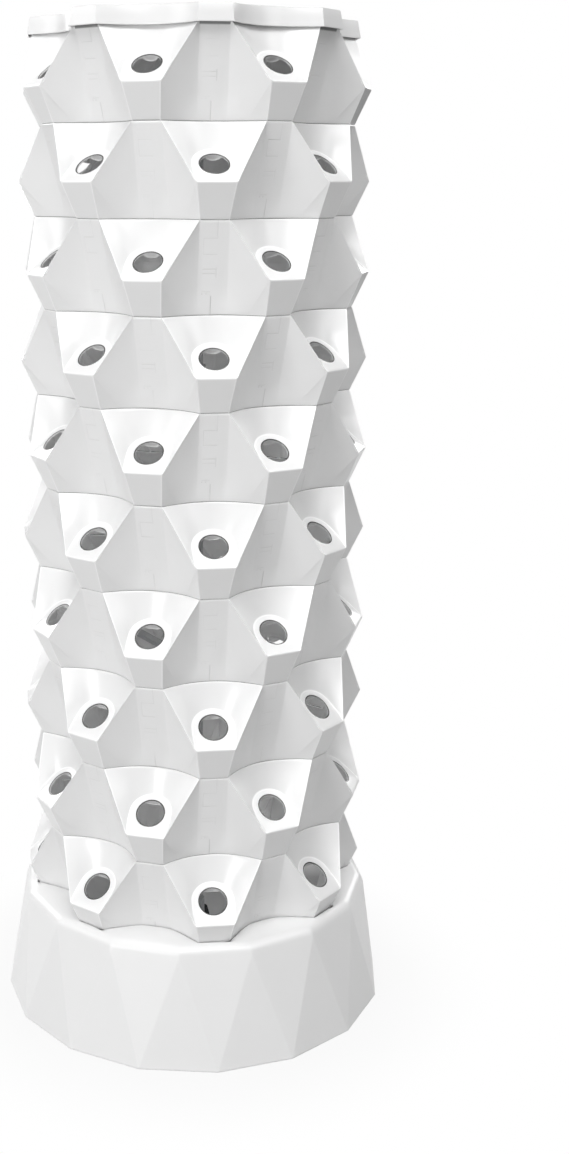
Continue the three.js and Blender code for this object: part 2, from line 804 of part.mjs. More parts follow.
function pumpCover() {
  const axis = pumpBase + chamberHeight;
  const back = -pumpFront - seatGap;
  const front = back - pumpCoverThickness;
  const low = pumpBase + pumpFootHeight;
  const plate = solidOf(roundedBox(pumpHalfWidth, front, back, low, pumpTop, pumpCoverThickness / 2));
  const slots = Array.from({ length: grilleSlotCount }, (_, i) => {
    const x = (i - (grilleSlotCount - 1) / 2) * grillePitch;
    const depth = pumpCoverThickness + 2 * overrun;
    return solidOf(block(grilleSlotWidth, depth, grilleSlotLength, x, (front + back) / 2, axis));
  });
  const boss = solidOf(alongY(rod(pinRadius + pinSeat / 2, front, back), axis));
  const pinHole = solidOf(alongY(rod(pinRadius + seatGap, back - pinSeat, back + overrun), axis));
  const cover = plate.subtract(addAll(slots)).add(boss).subtract(pinHole);
  return meshOf("pump_cover", geometryOf(cover), pumpPlastic);
}

function pumpPin() {
  const front = -pumpFront - pinSeat;
  const back = chamberBack + pinSeat - seatGap;
  const pin = rod(pinRadius, front, back);
  return meshOf("pump_pin", alongY(pin, pumpBase + chamberHeight), pinSteel);
}

function pumpImpeller() {
  const middle = (chamberBack - pumpFront) / 2;
  const low = middle - impellerLength / 2;
  const high = middle + impellerLength / 2;
  const hub = solidOf(rod(impellerHub, low, high));
  const blades = Array.from({ length: bladeCount }, (_, i) => {
    const root = impellerHub / 2;
    const length = impellerRadius - root;
    const blade = block(length, bladeThickness, impellerLength, root + length / 2, 0, middle);
    return solidOf(blade.rotateZ((i * 2 * Math.PI) / bladeCount));
  });
  const bore = solidOf(rod(pinRadius + seatGap, low - overrun, high + overrun));
  const impeller = geometryOf(addAll([hub, ...blades]).subtract(bore));
  return meshOf("pump_impeller", alongY(impeller, pumpBase + chamberHeight), impellerPlastic);
}

// Sleeve that grips the spigot below and the pipe above.
function outletSocket() {
  const lowBore = spigotRadius + seatGap;
  const highBore = pipeRadius + seatGap;
  const outer = highBore + socketWall;
  const low = pumpTop + seatGap;
  const step = spigotTop + seatGap;
  const top = pipeBottom + socketGrip;
  const ledge = pipeBottom - seatGap;
  const profile = [
    [lowBore, low], [outer, low], [outer, top], [highBore, top], [highBore, ledge],
    [spigotRadius - socketWall / 2, ledge], [spigotRadius - socketWall / 2, step], [lowBore, step],
  ];
  return meshOf("outlet_socket", turned(profile), pipePlastic);
}

const tower = new THREE.Group();
tower.add(
  waterTank(), cordGrommet(), drainPlug(), pocketLayers(), topCover(),
  ...riserPipes(), ...pipeCouplings(), ...pipeGuides(), sprayHead(), spreaderDish(),
  pumpBody(), pumpCover(), pumpPin(), pumpImpeller(), outletSocket(),
);

export default tower;
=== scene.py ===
from math import atan2, cos, hypot, pi, radians, sin

import bpy
import numpy as np
from mathutils import Matrix, Vector


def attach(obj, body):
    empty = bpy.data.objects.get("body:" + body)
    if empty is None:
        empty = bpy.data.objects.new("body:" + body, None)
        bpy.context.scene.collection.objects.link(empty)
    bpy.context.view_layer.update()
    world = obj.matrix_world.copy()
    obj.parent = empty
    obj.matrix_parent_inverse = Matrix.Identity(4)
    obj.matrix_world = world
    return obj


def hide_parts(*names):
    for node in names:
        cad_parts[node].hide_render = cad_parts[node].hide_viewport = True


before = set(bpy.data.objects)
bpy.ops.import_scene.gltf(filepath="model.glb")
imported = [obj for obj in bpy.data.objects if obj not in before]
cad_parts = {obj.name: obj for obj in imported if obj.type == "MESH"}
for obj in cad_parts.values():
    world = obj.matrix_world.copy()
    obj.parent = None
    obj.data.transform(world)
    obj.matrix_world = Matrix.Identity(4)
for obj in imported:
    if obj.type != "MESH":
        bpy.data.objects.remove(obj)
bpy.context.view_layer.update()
print("stage: frame loaded")

turn = 2 * pi
weldDistance = 5e-6
shortestEdge = 1e-5
noMark = -1.0  # marks of the points that carry none
ledgeMark = 2.0  # marks of the ledge in a hole, which is painted dark as shade
edgeSoftness = (1.0, 0.25)  # how far a border is rounded, and the row of points next to it


# Shared helpers

def mix(a, b, share):
    return a + (b - a) * share


def place(reach, across, height, azimuth):
    # reach runs out from the axis, across to the side; azimuth counts from -Y towards +X
    reach, across, height, azimuth = np.broadcast_arrays(reach, across, height, azimuth)
    x = reach * np.sin(azimuth) + across * np.cos(azimuth)
    y = across * np.sin(azimuth) - reach * np.cos(azimuth)
    return np.stack([x, y, height], axis=-1)


def spaced(count, near):
    # shares from 0 to 1, with extra ones close to both ends, where an edge is rounded
    middle = np.linspace(0, 1, count + 1)[1:-1]
    near = [share for share in near if share < middle[0]]
    return np.concatenate([[0], near, middle, [1 - share for share in reversed(near)], [1]])


def valuesOf(values, keys):
    return (values[key] for key in keys.split())


def column(*values):
    return np.array(values, dtype=float)[:, None]


def gridFaces(rows, columns, closed):
    index = np.arange(rows * columns).reshape(rows, columns)
    if closed:
        index = np.concatenate([index, index[:, :1]], axis=1)
    corners = [index[:-1, :-1], index[:-1, 1:], index[1:, 1:], index[1:, :-1]]
    return np.stack(corners, axis=-1).reshape(-1, 4)


class Patches:
    # collects grids of points, then welds them where they meet
    def __init__(self):
        self.parts = []
        self.count = 0

    def add(self, grid, closed=False, flip=False, marks=noMark, soft=0.0):
        # marks are two numbers per point that the material reads as a UV map, and soft is how far
        # each point takes part in the rounding of folded edges
        rows, columns = grid.shape[:2]
        faces = gridFaces(rows, columns, closed)
        if flip:
            faces = faces[:, ::-1]
        marks = np.broadcast_to(marks, (rows, columns, 2)).reshape(-1, 2)[faces]
        soft = np.broadcast_to(soft, (rows, columns)).reshape(-1)
        self.parts.append((grid.reshape(-1, 3), faces + self.count, marks, soft))
        self.count += rows * columns

    def welded(self):
        points, faces, marks, soft = (np.concatenate(part) for part in zip(*self.parts))
        keys = np.round(points / weldDistance).astype(np.int64)
        _, first, same = np.unique(keys, axis=0, return_index=True, return_inverse=True)
        same = same.reshape(-1)
        softness = np.zeros(len(first))
        np.maximum.at(softness, same, soft)
        return points[first], same[faces], marks, softness


def meshFrom(name, finishes, points, faces, marks, rims=None):
    # a quad that lost one corner in the weld becomes a triangle, and one that lost two is dropped
    lost = faces == np.roll(faces, -1, axis=1)
    whole = ~lost.any(axis=1)
    thin = lost.sum(axis=1) == 1
    keep = (np.argmax(lost[thin], axis=1)[:, None] + np.array([1, 2, 3])) % 4
    triangles = np.take_along_axis(faces[thin], keep, axis=1)
    mesh = bpy.data.meshes.new(name)
    mesh.from_pydata(points.tolist(), [], faces[whole].tolist() + triangles.tolist())
    if rims is not None:
        corners = np.take_along_axis(marks[thin], keep[:, :, None], axis=1)
        flat = np.concatenate([marks[whole].reshape(-1, 2), corners.reshape(-1, 2)])
        mesh.uv_layers.new(name="marks").uv.foreach_set("vector", flat.astype(np.float32).reshape(-1))
        mesh.attributes.new("rims", "FLOAT", "POINT").data.foreach_set("value", rims.astype(np.float32))
    for finish in finishes:
        mesh.materials.append(materials[finish])
    mesh.update()
    return mesh


def shadeSoft(mesh, degrees):
    mesh.shade_smooth()
    mesh.set_sharp_from_angle(angle=radians(degrees))


def solidFrom(name, grids, finishes, sharpAngle=35):
    # every grid is a closed surface of its own
    skin = Patches()
    for grid in grids:
        skin.add(grid, closed=True)
    mesh = meshFrom(name, finishes, *skin.welded()[:3])
    shadeSoft(mesh, sharpAngle)
    return mesh


def addObject(name, data):
    made = bpy.data.objects.new(name, data)
    bpy.context.scene.collection.objects.link(made)
    return made


def newPiece(name, mesh, replaced, body="tower"):
    piece = addObject(name, mesh)
    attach(piece, body)
    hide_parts(replaced)


def bakedWith(mesh, setUp):
    # the mesh as it comes out of the modifiers that setUp puts on it
    holder = addObject(mesh.name, mesh)
    setUp(holder)
    depsgraph = bpy.context.evaluated_depsgraph_get()
    baked = bpy.data.meshes.new_from_object(holder.evaluated_get(depsgraph))
    bpy.data.objects.remove(holder)
    return baked


def numbersOf(data, key, width):
    numbers = np.empty(len(data) * width, dtype=np.float32)
    data.foreach_get(key, numbers)
    return numbers.reshape(-1, width).T


def borders(grid, sides):
    # how far the points of a grid are softened: fully on the named borders and a little on the next row in
    soft = np.zeros(grid.shape[:2])
    rowsFrom = {"bottom": soft, "top": soft[::-1], "left": soft.T, "right": soft.T[::-1]}
    for side in sides.split():
        for depth, amount in enumerate(edgeSoftness):
            row = rowsFrom[side][depth]
            np.maximum(row, amount, out=row)
    return soft


def neighbours(points, faces):
    # every edge of the faces in both directions, with its length
    edges = np.concatenate([faces[:, [i, (i + 1) % 4]] for i in range(4)])
    edges = edges[edges[:, 0] != edges[:, 1]]
    edges = np.unique(np.sort(edges, axis=1), axis=0)
    pairs = np.concatenate([edges, edges[:, ::-1]])
    return pairs[:, 0], pairs[:, 1], np.linalg.norm(points[pairs[:, 0]] - points[pairs[:, 1]], axis=1)


def softened(points, links, amount, rounds=2):
    # moves each point towards the mean of its neighbours by its own amount, which rounds a folded edge
    ends, starts, length = links
    weight = 1 / np.maximum(length, shortestEdge) ** 2
    for _ in range(rounds):
        total = np.zeros(len(points))
        mean = np.zeros_like(points)
        np.add.at(total, ends, weight)
        np.add.at(mean, ends, points[starts] * weight[:, None])
        points = points + (mean / total[:, None] - points) * amount[:, None]
    return points


def widened(mask, links, reach, share):
    # a mask also takes in the points close to it, by a share
    ends, starts, length = links
    near = length < reach
    wide = mask.copy()
    np.maximum.at(wide, ends[near], share * mask[starts[near]])
    return wide


# Materials

surface = {"cloudScale": 9, "cloudDetail": 4, "grainDetail": 3, "grainDepth": 0.0004, "refraction": 1.46,
           "coatRoughness": 0.08}
# fine lines in a valley: lowest and highest place across and up it in metres, and how clear the line is
pocketLines = {
    "upperTongueSide": (-0.0156, -0.0156, 0.097, 0.121, 0.45),
    "upperTongueTop": (-0.0156, 0.0056, 0.121, 0.121, 0.8),
    "upperTongueFoot": (-0.0156, 0.0056, 0.096, 0.096, 0.7),
    "upperNotch": (0.0056, 0.0056, 0.121, 0.150, 0.55),
    "lowerTongueTop": (-0.0156, 0.0056, 0.073, 0.073, 0.75),
    "lowerTongueFoot": (-0.0156, 0.0030, 0.066, 0.066, 0.55),
    "lowerTongueSide": (0.0056, 0.0056, 0.060, 0.076, 0.5),
    "clipLine": (-0.0156, -0.0040, 0.037, 0.037, 0.6),
    "seam": (-0.0017, -0.0017, 0.0, 0.030, 1.0),
    "leftDot": (-0.0156, -0.0156, 0.0335, 0.0345, 1.0),
    "rightDot": (-0.0096, -0.0096, 0.0335, 0.0345, 1.0),
}
lineLook = {
    "core": 0.0002,  # a line is full up to this distance from its middle
    "edge": 0.0008,  # and gone from this one
    "groove": 0.0006,
}
# the lines fade in and out from one valley to the next
linePatches = {"scale": 14, "detail": 2, "low": 0.38, "high": 0.62, "faint": 0.1}


def grey(value):
    return (value, value, value, 1)


lookInputs = {"Color": "Color", "Shade": "Color", "Roughness": "Float", "Spread": "Float",
              "Grain": "Float", "Bump": "Float"}
# values of these inputs, then of others on the shader
looks = {
    "pocketPlastic": (grey(0.83), grey(0.8), 0.3, 0.1, 700, 0.05, {"Coat Weight": 0.15}),
    # painted light: a faint glow and a whiter colour than outside stand for the daylight that comes through
    # a thin wall
    "insidePlastic": (grey(0.96), grey(0.94), 0.5, 0.15, 500, 0.08, {"Emission Strength": 0.028}),
    # painted shade: the cover is the same white plastic as the pockets, set darker
    "coverPlastic": (grey(0.77), grey(0.745), 0.3, 0.1, 700, 0.05, {"Coat Weight": 0.15}),
    "tankPlastic": (grey(0.79), grey(0.77), 0.36, 0.12, 500, 0.08, {"Coat Weight": 0.1}),
    "pipePlastic": ((0.62, 0.63, 0.64, 1), (0.55, 0.56, 0.57, 1), 0.45, 0.1, 600, 0.05, {}),
    "pumpPlastic": ((0.02, 0.022, 0.025, 1), (0.03, 0.032, 0.036, 1), 0.55, 0.15, 1200, 0.3, {}),
    "impellerPlastic": ((0.05, 0.15, 0.35, 1), (0.04, 0.12, 0.3, 1), 0.45, 0.1, 600, 0.1, {}),
    "pinSteel": ((0.62, 0.61, 0.6, 1), (0.55, 0.54, 0.53, 1), 0.25, 0.08, 900, 0.03, {"Metallic": 1}),
    "greyRubber": ((0.1, 0.105, 0.11, 1), (0.08, 0.084, 0.09, 1), 0.75, 0.1, 900, 0.25, {}),
}
# how dark the marks on the pockets are, and how bright a ridge is: Line darkens moulded lines, Gap and
# Ledge are painted shade, and Ridge is a painted highlight
markLooks = {"pocketPlastic": {"Line": 0.14, "Ridge": 0.17, "Gap": 0.9, "Ledge": 0.95}}


def feed(tree, node, inputs):
    # an input is linked to a socket or set to a value
    for key, value in inputs.items():
        if isinstance(value, bpy.types.NodeSocket):
            tree.links.new(value, node.inputs[key])
        else:
            node.inputs[key].default_value = value


def addNode(tree, kind, inputs, **settings):
    node = tree.nodes.new(f"ShaderNode{kind}")
    for name, value in settings.items():
        setattr(node, name, value)
    feed(tree, node, inputs)
    return node


def addMath(tree, operation, *values, kind="Math"):
    return addNode(tree, kind, dict(enumerate(values)), operation=operation).outputs[0]


def smoothRamp(tree, value, low, high, first, last):
    ends = {"Value": value, "From Min": low, "From Max": high, "To Min": first, "To Max": last}
    return addNode(tree, "MapRange", ends, interpolation_type="SMOOTHSTEP").outputs["Result"]


def objectPlace(tree):
    return addNode(tree, "TexCoord", {}).outputs["Object"]


def addNoise(tree, scale, detail):
    inputs = {"Vector": objectPlace(tree), "Scale": scale, "Detail": detail}
    return addNode(tree, "TexNoise", inputs).outputs["Fac"]


def newGroup(name, given, results):
    # a shader node group with named inputs and outputs, each with its kind of socket
    tree = bpy.data.node_groups.new(name, "ShaderNodeTree")
    for side, sockets in (("INPUT", given), ("OUTPUT", results)):
        for key, kind in sockets.items():
            tree.interface.new_socket(name=key, in_out=side, socket_type=f"NodeSocket{kind}")
    return tree, tree.nodes.new("NodeGroupInput").outputs, tree.nodes.new("NodeGroupOutput")


def mouldedGroup():
    # faint cloudiness of moulded plastic: a colour, a roughness and a normal from two scales of noise
    tree, given, result = newGroup("mouldedSurface", lookInputs,
                                   {"Color": "Color", "Roughness": "Float", "Normal": "Vector"})
    cloud = addNoise(tree, surface["cloudScale"], surface["cloudDetail"])
    grain = addNoise(tree, given["Grain"], surface["grainDetail"])
    tint = addNode(tree, "Mix", {"Factor": cloud, 6: given["Shade"], 7: given["Color"]}, data_type="RGBA")
    offset = addMath(tree, "SUBTRACT", cloud, 0.5)
    bumps = {"Distance": surface["grainDepth"], "Strength": given["Bump"], "Height": grain}
    feed(tree, result, {
        "Color": tint.outputs[2],
        "Roughness": addMath(tree, "MULTIPLY_ADD", offset, given["Spread"], given["Roughness"]),
        "Normal": addNode(tree, "Bump", bumps).outputs["Normal"],
    })
    return tree


def pocketMarksGroup():
    # a colour factor and a height: dark moulded lines, painted shade on ledges and in gaps, and painted
    # highlights on ridges
    tree, given, result = newGroup("pocketMarks", dict.fromkeys(("Line", "Ridge", "Gap", "Ledge"), "Float"),
                                   dict.fromkeys(("Factor", "Height"), "Float"))

    def calc(operation, *values):
        return addMath(tree, operation, *values)

    def vector(operation, *values):
        return addMath(tree, operation, *values, kind="VectorMath")

    def split(value):
        return addNode(tree, "SeparateXYZ", {0: value}).outputs

    where = addNode(tree, "UVMap", {}, uv_map="marks").outputs[0]
    lines = 0.0
    for low, high, foot, top, clear in pocketLines.values():
        away = vector("SUBTRACT", where, ((low + high) / 2, (foot + top) / 2, 0))
        away = split(vector("SUBTRACT", vector("ABSOLUTE", away), ((high - low) / 2, (top - foot) / 2, 0)))
        distance = calc("MAXIMUM", away[0], away[1])
        line = smoothRamp(tree, distance, lineLook["core"], lineLook["edge"], clear, 0)
        lines = calc("MAXIMUM", lines, line)
    scale, detail, low, high, faint = linePatches.values()
    lines = calc("MULTIPLY", lines, smoothRamp(tree, addNoise(tree, scale, detail), low, high, faint, 1))
    # the ledge in a hole is painted dark as shade
    onLedge = calc("GREATER_THAN", split(where)[0], ledgeMark - 0.5)
    # rims below 0 are painted shade, in the gap under a foot and under the cover; above 0 they are painted
    # highlights on ridges and top edges
    rims = addNode(tree, "Attribute", {}, attribute_name="rims").outputs["Fac"]
    gap = calc("MAXIMUM", calc("MULTIPLY", rims, -1), 0)
    factor = calc("ADD", 1, calc("MULTIPLY", calc("MAXIMUM", rims, 0), given["Ridge"]))
    for mask, amount in ((gap, "Gap"), (lines, "Line"), (onLedge, "Ledge")):
        factor = calc("MULTIPLY", factor, calc("SUBTRACT", 1, calc("MULTIPLY", mask, given[amount])))
    feed(tree, result, {"Factor": factor, "Height": calc("SUBTRACT", 1, lines)})
    return tree


mouldedSurface = mouldedGroup()
pocketMarks = pocketMarksGroup()


def mouldedMaterial(name, look):
    material = bpy.data.materials.new(name)
    material.use_nodes = True
    tree = material.node_tree
    *values, extras = look
    inputs = dict(zip(lookInputs, values))
    moulded = addNode(tree, "Group", inputs, node_tree=mouldedSurface).outputs
    color, normal = moulded["Color"], moulded["Normal"]
    if name in markLooks:
        marks = addNode(tree, "Group", markLooks[name], node_tree=pocketMarks).outputs
        tint = addNode(tree, "Mix", {"Factor": 1}, data_type="RGBA", blend_type="MULTIPLY")
        feed(tree, tint, {6: color, 7: marks["Factor"]})
        groove = {"Distance": lineLook["groove"], "Height": marks["Height"], "Normal": normal}
        color, normal = tint.outputs[2], addNode(tree, "Bump", groove).outputs["Normal"]
    feed(tree, tree.nodes["Principled BSDF"], {
        "Base Color": color,
        "Roughness": moulded["Roughness"],
        "Normal": normal,
        "IOR": surface["refraction"],
        "Coat Roughness": surface["coatRoughness"],
        "Emission Color": grey(1),
        **extras,
    })
    return material


materials = {name: mouldedMaterial(name, look) for name, look in looks.items()}
print("stage: materials made")


# Pocket layers

layer = {
    "count": 10, "pockets": 8, "panels": 4,
    "base": 0.178,  # height of the lowest layer's foot
    "pitch": 0.1495, "gap": 0.0003, "wall": 0.003,
    "edgeReach": 0.2692,  # narrow straight edge at the top of each valley
    "edgeHalf": 0.023, "archBow": 0.0316,
    "lipReach": 0.2955, "lipHalf": 0.0317, "lipHeight": 0.058, "bandFade": 0.040,
    "creaseShare": 0.666,  # share of the foot's half width where the crease from the lip's corner ends
    "flankPower": 1.2,
}
hole = {
    "lean": radians(50), "radius": 0.0243,
    "offset": 0.0418,  # from the lip up the facet to the hole's middle
    "wall": 0.0034,  # depth of the bore all round
    "tongue": 0.0116,  # depth of the lip behind the hole's top
    "tongueSpan": radians(34),
    "archHalf": 0.0355, "archRise": 0.0335,
    "sideShare": 0.18,  # share of the facet's outline on each side of its arch
    "edge": 0.0007,  # rounding where the facet turns into the bore
    "ledge": 0.0018,  # ledge just inside the hole, painted dark as shade
    "ledgeDrop": 0.0001,
    "tip": 0.0010,  # how far the lip's end turns in
    "tipGrowth": 3,
}
rimEase = {
    # bright is how far down from the top edge its painted highlight fades
    "foot": 0.0010, "top": 0.0012, "bright": 0.0016,
    "ridgeReach": 0.0018,  # points this close to a ridge partly take its painted highlight
    "ridgeShare": 0.85,
    "fold": 0.9,  # softness of the fold at the height of the lip, which is no ridge
    "softStep": 0.3,
    "underCover": 0.0035,  # depth of the painted shadow band under the cover, at the bowed edges
    "underCorner": 0.0080,  # and at the narrow edges
    "cornerMargin": 0.002,
    "topUnshaded": 0.0020,  # the top edge itself is left without the painted shadow
    "coverShade": 0.78,
}
panelSharpAngle = 50
edgeReach, edgeHalf, lipReach, lipHalf = valuesOf(layer, "edgeReach edgeHalf lipReach lipHalf")
lipHeight, pitch, base = valuesOf(layer, "lipHeight pitch base")
bayAngle = turn / layer["pockets"]
cornerAngle = atan2(edgeHalf, edgeReach)
cornerRadius = hypot(edgeReach, edgeHalf)
archReach = cornerRadius * cos(bayAngle / 2 - cornerAngle)
archHalfSpan = cornerRadius * sin(bayAngle / 2 - cornerAngle)
lipShare = lipHeight / pitch
topHeight = pitch - layer["gap"]
lipAngle = bayAngle / 2 - atan2(lipHalf, lipReach)
lipRadius = hypot(lipReach, lipHalf)
# how far out and how far across a valley's ridge is at its foot, at the lip's corner and at its top
ridgePoints = [(archReach, archHalfSpan), (lipRadius * cos(lipAngle), lipRadius * sin(lipAngle)),
               (edgeReach, edgeHalf)]
creaseFoot = layer["creaseShare"] * archHalfSpan


def facetPoint(across, up, azimuth=0.0, deep=0.0):
    # a point of the leaning facet: across it, up it from the lip, and deep behind it
    lean = hole["lean"]
    reach = lipReach - up * np.sin(lean) - deep * np.cos(lean)
    height = lipHeight + up * np.cos(lean) - deep * np.sin(lean)
    return place(reach, across, height, azimuth)


def topArch(across):
    # the bowed edge over a pocket is a parabola between the corners of the narrow edges
    return archReach - layer["archBow"] * (1 - (across / archHalfSpan) ** 2)


def valleyReach(share):
    # the middle of a valley leans inward going down
    return mix(archReach - layer["archBow"], edgeReach, share)


def ridgeAt(share):
    # the sharp ridge beside a valley runs straight from foot to lip and from lip to top
    return [np.interp(share, [0, lipShare, 1], values) for values in zip(*ridgePoints)]


def creaseAt(share):
    # a crease runs straight from the lip's corner down into the foot's arch: how low it is, and how far out
    low = np.clip(1 - share / lipShare, 0, 1)
    return low, mix(ridgePoints[1][1], creaseFoot, low)


def valleySkin(share, across):
    # a flat band in the middle and flanks that curve out to the crease, with a round arch at the foot;
    # beyond the crease a cone whose point is the lip's corner and whose base is the foot's arch
    ridgeReach, ridgeHalf = ridgeAt(share)
    cornerReach, cornerHalf = ridgePoints[1]
    low, creaseHalf = creaseAt(share)
    half = np.where(low > 0, creaseHalf, ridgeHalf)
    reachOut = np.where(low > 0, mix(cornerReach, topArch(creaseFoot), low), ridgeReach)
    along = np.clip(np.abs(across) / half, 0, 1)
    band = edgeHalf / half
    fade = np.clip(share * pitch / layer["bandFade"], 0, 1)
    fade = fade * fade * (3 - 2 * fade)
    flank = np.clip((along - band) / np.maximum(1 - band, 1e-6), 0, 1) ** layer["flankPower"]
    middle = valleyReach(share) + (reachOut - valleyReach(share)) * mix(along ** 2, flank, fade)
    footAcross = (np.abs(across) - (1 - low) * cornerHalf) / np.maximum(low, 1e-6)
    cone = mix(cornerReach, topArch(np.clip(footAcross, 0, archHalfSpan)), low)
    return np.where((low > 0) & (np.abs(across) > half), cone, middle)


def archCurve(s):
    # outline of the facet above the lip: up one side, over the hole as half an ellipse, down the other
    side = hole["sideShare"]
    rise = np.clip(np.minimum(s, 1 - s) / side, 0, 1)
    angle = np.clip((s - side) / (1 - 2 * side), 0, 1) * pi
    across = mix(lipHalf, hole["archHalf"], 1 - (1 - rise) ** 2) * np.cos(angle)
    return across, hole["offset"] * rise + hole["archRise"] * np.sin(angle)


# rows and columns of the pocket's grids as shares, closer together where an edge is rounded
nearEdge = [0.014, 0.04]
acrossShares = spaced(7, nearEdge)
flankShares = spaced(10, nearEdge)
coneShares = spaced(5, nearEdge)
wallShares = spaced(34, [0.006, 0.014])
lowRows = np.concatenate([[0, 0.0155, 0.05], np.linspace(0.12, 0.88, 7), [0.94, 0.978, 1]])
highRows = np.concatenate([[0, 0.014, 0.04], np.linspace(0.1, 0.9, 10), [0.92, 0.938, 0.97, 0.9905, 1]])
bandShares = np.linspace(0, 1, 4)
ringShares = column(0, 0.25, 0.5, 0.72, 0.88, 1)
# the brim's rounding in units of its edge, then the bore's rows and how far each turns in at the lip's end
brimWidth = column(1, 0.45, 0.12, 0, 0)
brimDepth = column(0, 0.12, 0.45, 1, 1.5)
boreRows = column(0, 0.3, 0.7, 0.95, 1, 1.03)
boreTurn = column(0, 0, 0, 0, 0.35, 1)


def addPocket(skin, azimuth):
    u = acrossShares[None, :] * 2 - 1
    v = lowRows[:, None]
    half = mix(edgeHalf, lipHalf, v)
    front = place(mix(edgeReach, lipReach, v), u * half, v * lipHeight, azimuth)
    skin.add(front, soft=borders(front, "top left right"))
    # the facet is a ring between its outline and the hole
    radius, edge, ledge, offset = valuesOf(hole, "radius edge ledge offset")
    archAcross, archUp = archCurve(wallShares)
    lipAcross = (acrossShares * 2 - 1) * lipHalf
    outlineAcross = np.concatenate([archAcross[:-1], lipAcross[:-1]])
    outlineUp = np.concatenate([archUp[:-1], 0 * lipAcross[:-1]])
    toward = np.arctan2(outlineUp - offset, outlineAcross)
    brim = radius + edge
    facet = facetPoint(mix(brim * np.cos(toward), outlineAcross, ringShares),
                       mix(offset + brim * np.sin(toward), outlineUp, ringShares), azimuth)
    skin.add(facet, closed=True, flip=True, soft=borders(facet, "top"))

    def bore(reach, deep):
        return facetPoint(reach * np.cos(toward), offset + reach * np.sin(toward), azimuth, deep)

    # a rounded brim, a narrow ledge painted dark as shade, then the bore, which runs deeper in a lip behind
    # the hole's top
    skin.add(bore(radius + brimWidth * edge, brimDepth * edge), closed=True)
    shelf = brimDepth[-1, 0] * edge
    start = shelf + hole["ledgeDrop"]
    skin.add(bore(column(radius, radius - ledge), column(shelf, start)), closed=True, marks=ledgeMark)
    top = cos(hole["tongueSpan"])
    lip = np.clip((np.sin(toward) - top) / (1 - top), 0, 1)
    turnIn = boreTurn * hole["tip"] * np.minimum(1, hole["tipGrowth"] * lip)
    deep = start + (hole["wall"] - start + (hole["tongue"] - hole["wall"]) * lip) * boreRows
    skin.add(bore(radius - ledge - turnIn, deep), closed=True)
    # the steep wall is ruled from the facet's arch up to the bowed top edge
    low = facetPoint(archAcross, archUp, azimuth)[None]
    topAcross = archHalfSpan * (1 - 2 * wallShares)
    high = place(topArch(topAcross), topAcross, topHeight, azimuth)[None]
    wall = mix(low, high, highRows[:, None, None])
    skin.add(wall, flip=True, soft=borders(wall, "bottom left right"))


def addValley(skin, azimuth, side):
    # half of a valley, from its middle out to the crease and the ridge
    for rows, isLow in ((lowRows * lipShare, True), (mix(lipShare, 1, highRows), False)):
        share = rows[:, None]
        ridgeHalf = ridgeAt(share)[1]
        outer = creaseAt(share)[1] if isLow else ridgeHalf
        parts = [bandShares[None, :-1] * edgeHalf * np.ones_like(share),
                 mix(edgeHalf, outer, flankShares[None, :])]
        if isLow:
            parts.append(mix(outer, ridgeHalf, coneShares[None, 1:]))
        half = np.concatenate(parts, axis=1)
        height = np.minimum(share * pitch, topHeight) * np.ones_like(half)
        across = half * side
        grid = place(valleySkin(share, across), across, height, azimuth)
        soft = borders(grid, "top right" if isLow else "bottom right")
        soft[-1 if isLow else 0, :-1] *= rimEase["fold"]
        skin.add(grid, flip=side < 0, marks=np.stack([across, height], axis=-1), soft=soft)


def eased(points):
    # the upper and lower rims turn in a little, so that a fine groove shows between two layers
    height = points[:, 2]
    depth = np.maximum(rimEase["foot"] - height, 0) + np.maximum(rimEase["top"] - (topHeight - height), 0)
    shrink = 1 - depth / np.hypot(points[:, 0], points[:, 1])
    return points * np.stack([shrink, shrink, np.ones_like(shrink)], axis=-1)


def panelSkin():
    skin = Patches()
    bays = layer["pockets"] // layer["panels"]
    for bay in range(bays):
        azimuth = (bay - (bays - 1) / 2) * bayAngle
        addPocket(skin, azimuth)
        addValley(skin, azimuth - bayAngle / 2, 1)
        addValley(skin, azimuth + bayAngle / 2, -1)
    points, faces, marks, softness = skin.welded()
    ridges = np.clip((softness - rimEase["fold"]) / (1 - rimEase["fold"]), 0, 1)
    links = neighbours(points, faces)
    ridges = widened(ridges, links, rimEase["ridgeReach"], rimEase["ridgeShare"])
    points = softened(points, links, softness * rimEase["softStep"])
    # rims: 1 on a ridge or the top edge, a painted highlight, and -1 in the gap under the foot, painted
    # shade
    rims = np.maximum(ridges, np.clip(1 - (topHeight - points[:, 2]) / rimEase["bright"], 0, 1))
    rims[points[:, 2] < weldDistance] = -1
    finishes = ["pocketPlastic", "insidePlastic"]
    return meshFrom("pocketPanelSkin", finishes, eased(points), faces, marks, rims)


def thicken(piece):
    wall = piece.modifiers.new("wall", "SOLIDIFY")
    wall.thickness = layer["wall"]
    wall.offset = -1
    wall.use_even_offset = True
    wall.thickness_clamp = 0.8
    wall.material_offset = 1


def offPocket(azimuth):
    # angle to the middle of the nearest pocket, where the first one is at azimuth 0
    return np.abs((azimuth + bayAngle / 2) % bayAngle - bayAngle / 2)


def shadeUnderCover(mesh):
    # painted shadow on the wall just under the cover's skirt
    x, y, height = numbersOf(mesh.vertices, "co", 3)
    rims = numbersOf(mesh.attributes["rims"].data, "value", 1)[0]
    atCorner = offPocket(np.arctan2(x, -y)) < cornerAngle + rimEase["cornerMargin"]
    depth = np.where(atCorner, rimEase["underCorner"], rimEase["underCover"])
    below = pitch - height
    rims[(below > rimEase["topUnshaded"]) & (below < depth)] = -rimEase["coverShade"]
    mesh.attributes["rims"].data.foreach_set("value", rims)


